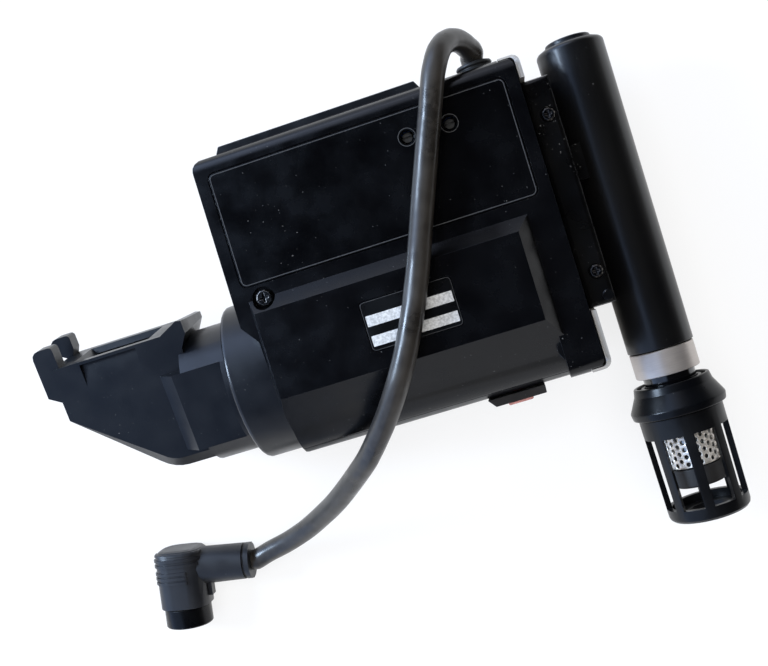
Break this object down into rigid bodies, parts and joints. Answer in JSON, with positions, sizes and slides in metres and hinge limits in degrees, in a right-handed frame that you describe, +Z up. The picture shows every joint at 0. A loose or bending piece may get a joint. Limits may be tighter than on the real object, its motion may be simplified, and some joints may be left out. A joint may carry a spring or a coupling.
{
  "type": "electronic viewfinder",
  "caption": "Camera viewfinder box with a crosswise picture tube, turning mirror box, extending microphone beside it and a cord to a right-angled plug.",
  "frame": {"origin": "on the table under the middle of the object's box without its cord and plug", "axes": "+X along the picture tube towards the microphone, +Y towards the eye, +Z up to the label"},
  "size_m": [0.1664, 0.1332, 0.0545],
  "materials": {
    "rear_shell": "satin moulded plastic",
    "front_cover": "satin moulded plastic",
    "label_plate": "printed plate",
    "data_sticker": "blank printed film",
    "cover_screw": "blackened",
    "back_screw_1": "blackened",
    "back_screw_2": "blackened",
    "back_screw_3": "blackened",
    "board_screw_1": "plated",
    "board_screw_2": "plated",
    "bracket_screw_1": "blackened",
    "bracket_screw_2": "blackened",
    "end_plate": "brushed",
    "rail_plate": "satin moulded plastic",
    "cord_gland": "smooth",
    "gland_nut": "plated",
    "tally_housing": "satin moulded plastic",
    "tally_lens": "translucent red",
    "tally_lamp": "red lamp",
    "lamp_holder": "moulded",
    "eyepiece_collar": "satin moulded plastic",
    "mirror_box": "satin moulded plastic",
    "mirror": "front-silvered glass",
    "mirror_frame": "sprung sheet",
    "retaining_ring": "sprung sheet",
    "picture_tube": "coated glass",
    "tube_clamp": "moulded",
    "deflection_yoke": "ferrite and moulding",
    "yoke_coil": "enamelled copper",
    "centring_ring": "magnet",
    "tube_socket": "moulded",
    "socket_board": "circuit board",
    "anode_cap": "moulded",
    "anode_lead": "insulated lead",
    "main_board": "circuit board",
    "capacitor_1": "sleeved can",
    "capacitor_2": "sleeved can",
    "deflection_chip": "moulded",
    "cord_header": "moulded",
    "flyback_transformer": "potted",
    "flyback_core": "ferrite",
    "focus_trimmer": "moulded",
    "focus_shaft": "moulded",
    "bright_trimmer": "moulded",
    "bright_shaft": "moulded",
    "mic_bracket": "satin moulded plastic",
    "mic_tube": "satin black",
    "tube_cap": "satin moulded plastic",
    "tube_band": "turned",
    "boom_tube": "gloss black",
    "mic_head": "satin moulded plastic",
    "capsule_mount": "matt",
    "mic_cage": "satin moulded plastic",
    "capsule_sleeve": "perforated sheet",
    "mic_capsule": "can",
    "capsule_foot": "moulded",
    "plug_body": "moulded",
    "plug_barrel": "blackened",
    "plug_contacts": "gold plated",
    "cord": "satin sheath"
  },
  "bodies": {
    "housing": {"rear_shell": "rear_shell", "front_cover": "front_cover", "label_plate": "label_plate", "data_sticker": "data_sticker", "cover_screw": "cover_screw", "back_screw_1": "back_screw_1", "back_screw_2": "back_screw_2", "back_screw_3": "back_screw_3", "board_screw_1": "board_screw_1", "board_screw_2": "board_screw_2", "bracket_screw_1": "bracket_screw_1", "bracket_screw_2": "bracket_screw_2", "end_plate": "end_plate", "rail_plate": "rail_plate", "cord_gland": "cord_gland", "gland_nut": "gland_nut", "tally_housing": "tally_housing", "tally_lens": "tally_lens", "tally_lamp": "tally_lamp", "lamp_holder": "lamp_holder", "eyepiece_collar": "eyepiece_collar", "picture_tube": "picture_tube", "tube_clamp": "tube_clamp", "deflection_yoke": "deflection_yoke", "yoke_coil": "yoke_coil", "centring_ring": "centring_ring", "tube_socket": "tube_socket", "socket_board": "socket_board", "anode_cap": "anode_cap", "anode_lead": "anode_lead", "main_board": "main_board", "capacitor_1": "capacitor_1", "capacitor_2": "capacitor_2", "deflection_chip": "deflection_chip", "cord_header": "cord_header", "flyback_transformer": "flyback_transformer", "flyback_core": "flyback_core", "focus_trimmer": "focus_trimmer", "bright_trimmer": "bright_trimmer", "mic_bracket": "mic_bracket", "mic_tube": "mic_tube", "tube_cap": "tube_cap", "tube_band": "tube_band", "plug_body": "plug_body", "plug_barrel": "plug_barrel", "plug_contacts": "plug_contacts", "cord": "cord"},
    "turret": {"mirror_box": "mirror_box", "mirror": "mirror", "mirror_frame": "mirror_frame", "retaining_ring": "retaining_ring"},
    "boom": {"boom_tube": "boom_tube", "mic_head": "mic_head", "capsule_mount": "capsule_mount", "mic_cage": "mic_cage", "capsule_sleeve": "capsule_sleeve", "mic_capsule": "mic_capsule", "capsule_foot": "capsule_foot"},
    "focus_control": {"focus_shaft": "focus_shaft"},
    "bright_control": {"bright_shaft": "bright_shaft"}
  },
  "joints": [
    {"name": "eyepiece_tilt", "type": "hinge", "parent": "housing", "child": "turret", "pos_m": [-0.045, 0.00305, 0.0218], "axis": [1, 0, 0], "range_deg": [-41.2, 78.8]},
    {"name": "microphone_slide", "type": "slide", "parent": "housing", "child": "boom", "axis": [0, -1, 0], "range_m": [0, 0.045]},
    {"name": "focus_turn", "type": "hinge", "parent": "housing", "child": "focus_control", "pos_m": [0.0268, 0.04795, 0.04], "axis": [0, 0, 1], "range_deg": [-135, 135]},
    {"name": "bright_turn", "type": "hinge", "parent": "housing", "child": "bright_control", "pos_m": [0.0373, 0.04795, 0.04], "axis": [0, 0, 1], "range_deg": [-135, 135]}
  ]
}
